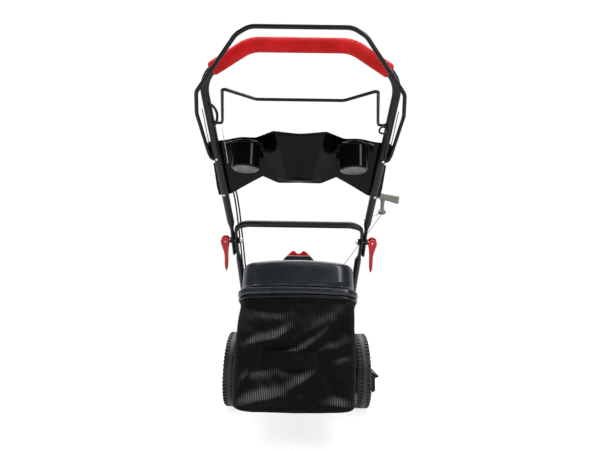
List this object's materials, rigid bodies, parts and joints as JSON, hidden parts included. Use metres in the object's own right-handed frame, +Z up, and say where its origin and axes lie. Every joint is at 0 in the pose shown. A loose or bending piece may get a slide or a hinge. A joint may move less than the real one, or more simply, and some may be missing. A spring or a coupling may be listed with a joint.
{
  "type": "lawn mower",
  "caption": "Walk-behind lawn mower with folding tubular handle, control console, brake and drive levers, rear grass bag and a box-section deck under an upright engine.",
  "frame": {"origin": "centre of the machine's footprint box, on the ground", "axes": "+Z up, +Y forwards in the direction of mowing, +X to the operator's right"},
  "size_m": [0.636, 1.5826, 1.0385],
  "materials": {
    "red_paint": "semi-gloss red enamel",
    "red_rubber": "soft matt foam sleeve, bright red",
    "red_plastic": "moulded red plastic, slight shine",
    "black_paint": "semi-gloss black powder coat",
    "black_gloss": "polished black plastic",
    "black_plastic": "fine-grained black plastic",
    "slate_plastic": "dark slate plastic with a soft shine",
    "tyre_rubber": "dark grey rubber with cleats",
    "bag_mesh": "black ribbed polyester mesh",
    "bare_steel": "bright zinc-plated steel",
    "cast_alloy": "as-cast alloy",
    "grey_plastic": "warm grey moulded plastic",
    "cord_fibre": "braided cord and belt fibre"
  },
  "bodies": {
    "chassis": {"deck_shell": "red_paint", "front_axle": "bare_steel", "engine_block": "cast_alloy", "blower_housing": "red_plastic", "recoil_cover": "black_plastic", "fuel_tank": "black_plastic", "muffler": "bare_steel", "muffler_guard": "bare_steel", "air_filter_cover": "black_plastic", "carburettor": "cast_alloy", "spark_plug": "black_plastic", "gearbox": "cast_alloy", "drive_belt": "cord_fibre", "door_rod": "bare_steel", "flap_rod": "bare_steel", "trail_shield": "tyre_rubber", "height_quadrant": "bare_steel", "handle_bracket_left": "black_paint", "handle_bracket_right": "black_paint", "lower_handle": "black_paint", "cam_bolt_left": "bare_steel", "cam_bolt_right": "bare_steel", "brake_cable": "black_plastic", "drive_cable": "black_plastic", "starter_rope": "cord_fibre"},
    "drive_axle": {"rear_axle": "bare_steel"},
    "rear_left_wheel": {"rear_left_tyre": "tyre_rubber", "rear_left_rim": "black_plastic"},
    "rear_right_wheel": {"rear_right_tyre": "tyre_rubber", "rear_right_rim": "black_plastic"},
    "front_left_wheel": {"front_left_tyre": "tyre_rubber", "front_left_rim": "black_plastic"},
    "front_right_wheel": {"front_right_tyre": "tyre_rubber", "front_right_rim": "black_plastic"},
    "crank": {"crankshaft": "bare_steel", "flywheel": "cast_alloy", "blade_adapter": "cast_alloy", "blade": "bare_steel", "blade_bolt": "bare_steel", "crank_pulley": "bare_steel"},
    "gearbox_input": {"gearbox_pulley": "bare_steel"},
    "rear_door": {"rear_door": "black_plastic"},
    "side_flap": {"side_flap": "black_plastic"},
    "height_lever": {"height_lever": "black_plastic"},
    "fuel_cap": {"fuel_cap": "red_plastic"},
    "dipstick": {"dipstick": "red_plastic"},
    "grass_bag": {"bag_fabric": "bag_mesh", "bag_rim": "slate_plastic", "bag_lid": "slate_plastic", "lid_handle": "red_plastic", "bag_strap": "bag_mesh"},
    "upper_handle": {"upper_handle": "black_paint", "grip": "red_rubber", "console": "black_gloss", "rope_guide": "bare_steel"},
    "brake_bail": {"brake_bail": "black_paint"},
    "drive_lever": {"drive_lever": "black_paint"},
    "cam_lever_left": {"cam_lever_left": "red_plastic"},
    "cam_lever_right": {"cam_lever_right": "red_plastic"},
    "starter_grip": {"starter_grip": "grey_plastic"}
  },
  "joints": [
    {"name": "rear_left_roll", "type": "hinge", "parent": "chassis", "child": "rear_left_wheel", "pos_m": [-0.293, 0.0913, 0.14], "axis": [1, 0, 0], "continuous": true},
    {"name": "rear_right_roll", "type": "hinge", "parent": "chassis", "child": "rear_right_wheel", "pos_m": [0.207, 0.0913, 0.14], "axis": [1, 0, 0], "continuous": true},
    {"name": "front_left_roll", "type": "hinge", "parent": "chassis", "child": "front_left_wheel", "pos_m": [-0.2895, 0.6913, 0.1], "axis": [1, 0, 0], "continuous": true},
    {"name": "front_right_roll", "type": "hinge", "parent": "chassis", "child": "front_right_wheel", "pos_m": [0.2035, 0.6913, 0.1], "axis": [1, 0, 0], "continuous": true},
    {"name": "axle_spin", "type": "hinge", "parent": "chassis", "child": "drive_axle", "pos_m": [-0.043, 0.0913, 0.14], "axis": [1, 0, 0], "continuous": true},
    {"name": "blade_spin", "type": "hinge", "parent": "chassis", "child": "crank", "pos_m": [-0.043, 0.3913, 0.078], "axis": [0, 0, 1], "continuous": true},
    {"name": "gearbox_pulley_spin", "type": "hinge", "parent": "chassis", "child": "gearbox_input", "pos_m": [-0.043, 0.1373, 0.142], "axis": [0, 0, 1], "continuous": true},
    {"name": "handle_fold", "type": "hinge", "parent": "chassis", "child": "upper_handle", "pos_m": [-0.043, -0.27742, 0.60842], "axis": [1, 0, 0], "range_deg": [-150, 0], "deforming": ["starter_rope", "brake_cable", "drive_cable"]},
    {"name": "bail_squeeze", "type": "hinge", "parent": "upper_handle", "child": "brake_bail", "pos_m": [-0.043, -0.4883, 0.81471], "axis": [1, 0, 0], "range_deg": [-6.8, 0], "stiffness_Nm_per_rad": 4, "springref_deg": 20.05},
    {"name": "drive_squeeze", "type": "hinge", "parent": "upper_handle", "child": "drive_lever", "pos_m": [-0.043, -0.56122, 0.88604], "axis": [1, 0, 0], "range_deg": [-36, 0], "stiffness_Nm_per_rad": 2, "springref_deg": 20.05},
    {"name": "cam_left_open", "type": "hinge", "parent": "chassis", "child": "cam_lever_left", "pos_m": [-0.283, -0.27742, 0.60842], "axis": [0, 0.6993, 0.7148], "range_deg": [0, 120]},
    {"name": "cam_right_open", "type": "hinge", "parent": "chassis", "child": "cam_lever_right", "pos_m": [0.197, -0.27742, 0.60842], "axis": [0, -0.6993, -0.7148], "range_deg": [0, 120]},
    {"name": "starter_pull", "type": "slide", "parent": "upper_handle", "child": "starter_grip", "axis": [0, -0.4384, 0.8988], "range_m": [0, 0.45], "stiffness_N_per_m": 20, "springref_m": -0.1},
    {"name": "bag_slide", "type": "slide", "parent": "chassis", "child": "grass_bag", "axis": [0, -1, 0], "range_m": [0, 0.8]},
    {"name": "door_swing", "type": "hinge", "parent": "chassis", "child": "rear_door", "pos_m": [-0.043, 0.0123, 0.369], "axis": [1, 0, 0], "range_deg": [0, 120]},
    {"name": "flap_lift", "type": "hinge", "parent": "chassis", "child": "side_flap", "pos_m": [0.215, 0.3363, 0.14], "axis": [0, -1, 0], "range_deg": [0, 70], "stiffness_Nm_per_rad": 0.6, "springref_deg": -17.19},
    {"name": "height_set", "type": "hinge", "parent": "chassis", "child": "height_lever", "pos_m": [-0.242, 0.2033, 0.1994], "axis": [1, 0, 0], "range_deg": [-20, 20]},
    {"name": "fuel_cap_lift", "type": "slide", "parent": "chassis", "child": "fuel_cap", "axis": [0, 0, 1], "range_m": [0, 0.06]},
    {"name": "dipstick_pull", "type": "slide", "parent": "chassis", "child": "dipstick", "axis": [0, 0, 1], "range_m": [0, 0.1]}
  ],
  "couplings": [
    {"joint": "gearbox_pulley_spin", "follows": "blade_spin", "ratio": 0.8667},
    {"joint": "door_swing", "follows": "bag_slide", "rad_per_m": 2.617}
  ]
}
